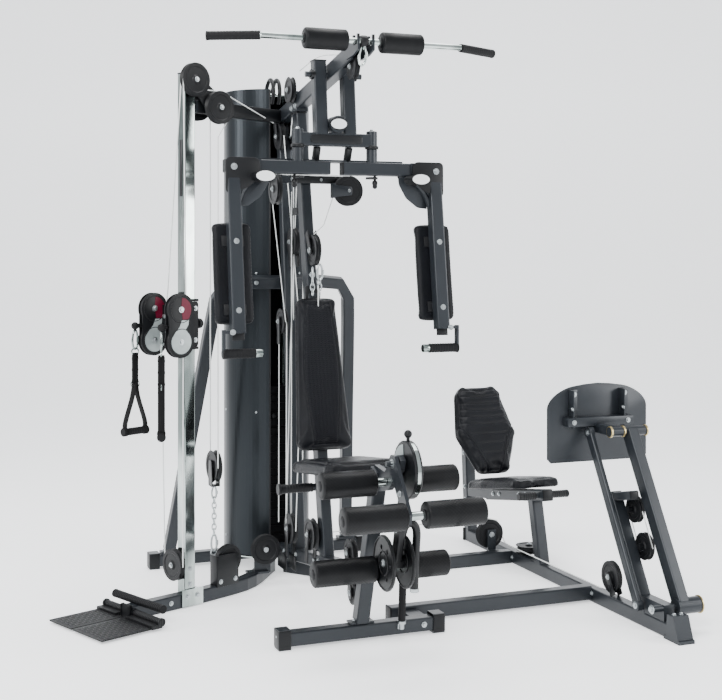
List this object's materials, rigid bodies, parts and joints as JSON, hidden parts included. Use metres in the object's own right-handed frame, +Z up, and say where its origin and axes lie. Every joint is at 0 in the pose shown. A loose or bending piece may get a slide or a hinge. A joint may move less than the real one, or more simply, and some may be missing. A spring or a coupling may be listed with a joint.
{
  "type": "multi station home gym",
  "caption": "Multi-station home gym: tower with press arms, lat bar, padded seat and leg developer, shrouded weight stack, cable column with row plates, side leg press.",
  "frame": {"origin": "middle of the footprint's bounding box on the floor", "axes": "+X runs sideways from the cable column to the leg press (the longest extent), +Y runs from the front stabiliser back to the weight stack (the shortest extent), +Z is up"},
  "size_m": [2.3198, 1.8914, 2.1786],
  "materials": {
    "frame_paint": "satin slate grey powder coat",
    "shroud_paint": "dark grey sheet steel, soft sheen",
    "plate_paint": "black patterned plate",
    "chrome": "polished chrome",
    "iron": "black enamelled iron",
    "steel": "zinc plated",
    "black_plastic": "moulded black nylon",
    "vinyl": "black grained vinyl over foam",
    "foam": "black foam with a diamond knurl",
    "strap": "black webbing with a rubber grip",
    "cable": "coated steel cable"
  },
  "bodies": {
    "base": {"front_stabiliser": "frame_paint", "rear_stabiliser": "frame_paint", "seat_frame": "frame_paint", "column_arm": "frame_paint", "link_arm": "frame_paint", "front_link_beam": "frame_paint", "mast": "frame_paint", "rear_upright": "frame_paint", "boom": "frame_paint", "arch_frame": "frame_paint", "guide_rods": "chrome", "weight_stack": "iron", "shroud_right": "shroud_paint", "shroud_left": "shroud_paint", "main_seat": "vinyl", "seat_back": "vinyl", "thigh_roller_left": "foam", "thigh_roller_right": "foam", "cable_column": "chrome", "press_frame": "frame_paint", "press_seat": "vinyl", "press_back_pad": "vinyl", "press_cable": "cable"},
    "press_unit": {"press_hanger": "frame_paint"},
    "left_arm": {"left_press_arm": "frame_paint", "left_forearm_pad": "vinyl"},
    "right_arm": {"right_press_arm": "frame_paint", "right_forearm_pad": "vinyl"},
    "left_arm_pull_pin": {"left_arm_pin": "black_plastic"},
    "right_arm_pull_pin": {"right_arm_pin": "black_plastic"},
    "lat_pull_bar": {"lat_bar": "chrome", "lat_foam_left": "foam", "lat_foam_right": "foam"},
    "stack_head": {"weight_head": "iron"},
    "weight_selector": {"selector_pin": "steel"},
    "leg_developer": {"leg_lever": "frame_paint", "ankle_roller_left": "foam", "ankle_roller_right": "foam"},
    "shin_hold_down": {"shin_arm": "frame_paint", "shin_roller_left": "foam", "shin_roller_right": "foam"},
    "cam_pull_pin": {"cam_pin": "black_plastic"},
    "cable_carriage": {"carriage": "black_plastic", "pulley_block_front": "black_plastic", "pulley_block_rear": "black_plastic"},
    "carriage_pull_pin": {"carriage_pin": "black_plastic"},
    "front_strap_handle": {"strap_handle_front": "strap"},
    "rear_strap_handle": {"strap_handle_rear": "strap"},
    "left_row_plate": {"row_plate_left": "plate_paint"},
    "right_row_plate": {"row_plate_right": "plate_paint"},
    "leg_press_lever": {"press_lever": "frame_paint"},
    "leg_press_plate": {"press_foot_plate": "frame_paint"},
    "leg_press_link": {"press_link": "frame_paint"},
    "cross_pulley_right_wheel": {"cross_pulley_right": "black_plastic"},
    "cross_pulley_left_wheel": {"cross_pulley_left": "black_plastic"},
    "base_pulley_outer_wheel": {"base_pulley_outer": "black_plastic"},
    "base_pulley_inner_wheel": {"base_pulley_inner": "black_plastic"},
    "column_top_pulley_wheel": {"column_top_pulley": "black_plastic"},
    "column_low_pulley_wheel": {"column_low_pulley": "black_plastic"},
    "press_turn_pulley_wheel": {"press_turn_pulley": "black_plastic"}
  },
  "joints": [
    {"name": "press_swing", "type": "hinge", "parent": "base", "child": "press_unit", "pos_m": [-0.13953, -0.12634, 2.062], "axis": [-1, 0, 0], "range_deg": [0, 50]},
    {"name": "left_arm_fly", "type": "hinge", "parent": "press_unit", "child": "left_arm", "pos_m": [-0.28853, -0.14634, 1.756], "axis": [0, 0, 1], "range_deg": [0, 80]},
    {"name": "right_arm_fly", "type": "hinge", "parent": "press_unit", "child": "right_arm", "pos_m": [0.00947, -0.14634, 1.756], "axis": [0, 0, -1], "range_deg": [0, 80]},
    {"name": "left_arm_pin_pull", "type": "slide", "parent": "left_arm", "child": "left_arm_pull_pin", "axis": [0, 0, -1], "range_m": [0, 0.008], "stiffness_N_per_m": 1500, "springref_m": -0.004},
    {"name": "right_arm_pin_pull", "type": "slide", "parent": "right_arm", "child": "right_arm_pull_pin", "axis": [0, 0, -1], "range_m": [0, 0.008], "stiffness_N_per_m": 1500, "springref_m": -0.004},
    {"name": "lat_bar_lift", "type": "slide", "parent": "base", "child": "lat_pull_bar", "axis": [0, 0, 1], "range_m": [0, 0.05]},
    {"name": "stack_lift", "type": "slide", "parent": "base", "child": "stack_head", "axis": [0, 0, 1], "range_m": [0, 0.95]},
    {"name": "selector_pull", "type": "slide", "parent": "stack_head", "child": "weight_selector", "axis": [0, -1, 0], "range_m": [0, 0.04]},
    {"name": "leg_developer_swing", "type": "hinge", "parent": "base", "child": "leg_developer", "pos_m": [-0.13953, -0.78134, 0.688], "axis": [-1, 0, 0], "range_deg": [0, 75]},
    {"name": "shin_arm_adjust", "type": "hinge", "parent": "leg_developer", "child": "shin_hold_down", "pos_m": [-0.16153, -0.78134, 0.688], "axis": [-1, 0, 0], "range_deg": [0, 40]},
    {"name": "cam_pin_pull", "type": "slide", "parent": "leg_developer", "child": "cam_pull_pin", "axis": [0, 0, 1], "range_m": [0, 0.008], "stiffness_N_per_m": 1500, "springref_m": -0.004},
    {"name": "carriage_slide", "type": "slide", "parent": "base", "child": "cable_carriage", "axis": [0, 0, 1], "range_m": [-0.45, 0.55]},
    {"name": "carriage_pin_pull", "type": "slide", "parent": "cable_carriage", "child": "carriage_pull_pin", "axis": [0.9205, 0.3907, 0], "range_m": [0, 0.01], "stiffness_N_per_m": 1500, "springref_m": -0.004},
    {"name": "front_handle_swing", "type": "hinge", "parent": "cable_carriage", "child": "front_strap_handle", "pos_m": [-0.75584, 0.08232, 1.104], "axis": [-0.3907, 0.9205, 0], "range_deg": [0, 35]},
    {"name": "rear_handle_swing", "type": "hinge", "parent": "cable_carriage", "child": "rear_strap_handle", "pos_m": [-0.8246, 0.24433, 1.104], "axis": [-0.3907, 0.9205, 0], "range_deg": [0, 35]},
    {"name": "left_row_plate_fold", "type": "hinge", "parent": "base", "child": "left_row_plate", "pos_m": [-0.90087, 0.21413, 0.03], "axis": [-0.3907, 0.9205, 0], "range_deg": [0, 90]},
    {"name": "right_row_plate_fold", "type": "hinge", "parent": "base", "child": "right_row_plate", "pos_m": [-0.83054, 0.04844, 0.03], "axis": [-0.3907, 0.9205, 0], "range_deg": [0, 90]},
    {"name": "leg_press_push", "type": "hinge", "parent": "base", "child": "leg_press_lever", "pos_m": [0.91547, -0.77134, 0.1], "axis": [1, 0, 0], "range_deg": [0, 38]},
    {"name": "leg_press_plate_pivot", "type": "hinge", "parent": "leg_press_lever", "child": "leg_press_plate", "pos_m": [0.91547, -0.43434, 0.694], "axis": [1, 0, 0], "range_deg": [-38, 0]},
    {"name": "leg_press_link_swing", "type": "hinge", "parent": "base", "child": "leg_press_link", "pos_m": [0.86947, -0.65134, 0.084], "axis": [1, 0, 0], "range_deg": [0, 38]},
    {"name": "cross_pulley_right_spin", "type": "hinge", "parent": "base", "child": "cross_pulley_right_wheel", "pos_m": [0.02847, 0.16566, 1.64], "axis": [0, 1, 0], "continuous": true},
    {"name": "cross_pulley_left_spin", "type": "hinge", "parent": "base", "child": "cross_pulley_left_wheel", "pos_m": [-0.28953, 0.13066, 1.64], "axis": [1, 0, 0], "continuous": true},
    {"name": "base_pulley_outer_spin", "type": "hinge", "parent": "base", "child": "base_pulley_outer_wheel", "pos_m": [-0.43583, 0.31376, 0.146], "axis": [-0.3907, 0.9205, 0], "continuous": true},
    {"name": "base_pulley_inner_spin", "type": "hinge", "parent": "base", "child": "base_pulley_inner_wheel", "pos_m": [-0.24353, 0.42566, 0.148], "axis": [0, 1, 0], "continuous": true},
    {"name": "column_top_pulley_spin", "type": "hinge", "parent": "base", "child": "column_top_pulley_wheel", "pos_m": [-0.59813, 0.19706, 2.066], "axis": [-0.3907, 0.9205, 0], "continuous": true},
    {"name": "column_low_pulley_spin", "type": "hinge", "parent": "base", "child": "column_low_pulley_wheel", "pos_m": [-0.67169, 0.24623, 0.162], "axis": [0.9205, 0.3907, 0], "continuous": true},
    {"name": "press_turn_pulley_spin", "type": "hinge", "parent": "base", "child": "press_turn_pulley_wheel", "pos_m": [0.81847, 0.45866, 0.122], "axis": [0, 1, 0], "continuous": true}
  ],
  "couplings": [
    {"joint": "leg_press_plate_pivot", "follows": "leg_press_push", "ratio": -1},
    {"joint": "leg_press_link_swing", "follows": "leg_press_push", "ratio": 1},
    {"joint": "cross_pulley_left_spin", "follows": "cross_pulley_right_spin", "ratio": 1},
    {"joint": "base_pulley_outer_spin", "follows": "cross_pulley_right_spin", "ratio": 1},
    {"joint": "base_pulley_inner_spin", "follows": "cross_pulley_right_spin", "ratio": 1},
    {"joint": "column_top_pulley_spin", "follows": "cross_pulley_right_spin", "ratio": 0.9394},
    {"joint": "column_low_pulley_spin", "follows": "cross_pulley_right_spin", "ratio": 1},
    {"joint": "press_turn_pulley_spin", "follows": "cross_pulley_right_spin", "ratio": 1}
  ]
}
